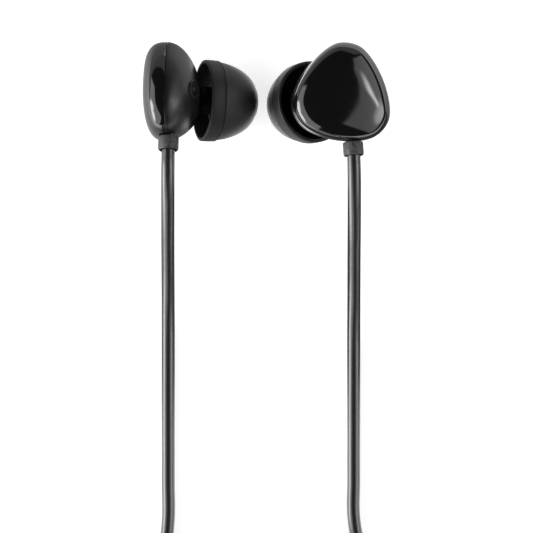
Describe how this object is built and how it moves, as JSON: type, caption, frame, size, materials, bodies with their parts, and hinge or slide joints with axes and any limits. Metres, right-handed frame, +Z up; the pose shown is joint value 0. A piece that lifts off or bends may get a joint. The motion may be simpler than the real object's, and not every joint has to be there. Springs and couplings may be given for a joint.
{
  "type": "wired earphones",
  "caption": "Wired in-ear earphones: teardrop shells with gloss backs, angled nozzles with silicone tips, round cord, Y-splitter and straight stereo plug.",
  "frame": {"origin": "on the table, below the middle of the box around the two buds, which leaves the cords and what is on them out", "axes": "+Z up from the table that everything lies on; +X from the left bud to the right bud; +Y from the cords toward the buds, so the cords run along -Y"},
  "size_m": [0.039, 0.1941, 0.0176],
  "materials": {
    "back_cap": "polished piano black",
    "housing": "fine matte, moulded",
    "ear_tip": "satin silicone",
    "grommet": "matte, faintly mottled",
    "cord": "semi-gloss elastomer",
    "steel": "plain",
    "magnet": "nickel plated",
    "coil_wire": "enamelled copper wire",
    "film": "thin clear amber film",
    "gasket": "closed foam",
    "plug_metal": "bright plated",
    "plug_insulator": "smooth"
  },
  "bodies": {
    "earphones": {"left_back_cap": "back_cap", "left_front_housing": "housing", "left_nozzle_screen": "steel", "left_driver_frame": "housing", "left_driver_yoke": "steel", "left_driver_magnet": "magnet", "left_pole_plate": "steel", "left_driver_gasket": "gasket", "left_cord_grommet": "grommet", "left_cord_anchor": "steel", "right_back_cap": "back_cap", "right_front_housing": "housing", "right_nozzle_screen": "steel", "right_driver_frame": "housing", "right_driver_yoke": "steel", "right_driver_magnet": "magnet", "right_pole_plate": "steel", "right_driver_gasket": "gasket", "right_cord_grommet": "grommet", "right_cord_anchor": "steel", "left_cord_run": "cord", "left_cord_coil": "cord", "left_cord_tail": "cord", "right_cord_run": "cord", "right_cord_coil": "cord", "right_cord_tail": "cord", "main_cord_lead": "cord", "main_cord_coil": "cord", "main_cord_tail": "cord", "y_split_base": "housing", "y_split_cover": "housing", "plug_strain_relief": "housing", "plug_grip": "housing", "plug_sleeve": "plug_metal", "plug_rear_insulator": "plug_insulator", "plug_ring": "plug_metal", "plug_front_insulator": "plug_insulator", "plug_tip": "plug_metal"},
    "left_tip": {"left_ear_tip": "ear_tip"},
    "right_tip": {"right_ear_tip": "ear_tip"},
    "left_moving_coil": {"left_diaphragm": "film", "left_voice_coil": "coil_wire"},
    "right_moving_coil": {"right_diaphragm": "film", "right_voice_coil": "coil_wire"}
  },
  "joints": [
    {"name": "left_tip_turn", "type": "hinge", "parent": "earphones", "child": "left_tip", "pos_m": [-0.01098, 0.0001, 0.00699], "axis": [0.9623, -0.0359, -0.2697], "continuous": true},
    {"name": "left_diaphragm_stroke", "type": "slide", "parent": "earphones", "child": "left_moving_coil", "axis": [0.9997, -0.013, 0.0217], "range_m": [-0.00015, 0.00015], "stiffness_N_per_m": 50},
    {"name": "right_tip_turn", "type": "hinge", "parent": "earphones", "child": "right_tip", "pos_m": [0.00793, -0.00012, 0.0093], "axis": [-0.515, -0.0916, -0.8523], "continuous": true},
    {"name": "right_diaphragm_stroke", "type": "slide", "parent": "earphones", "child": "right_moving_coil", "axis": [-0.2445, -0.1383, -0.9597], "range_m": [-0.00015, 0.00015], "stiffness_N_per_m": 50}
  ]
}
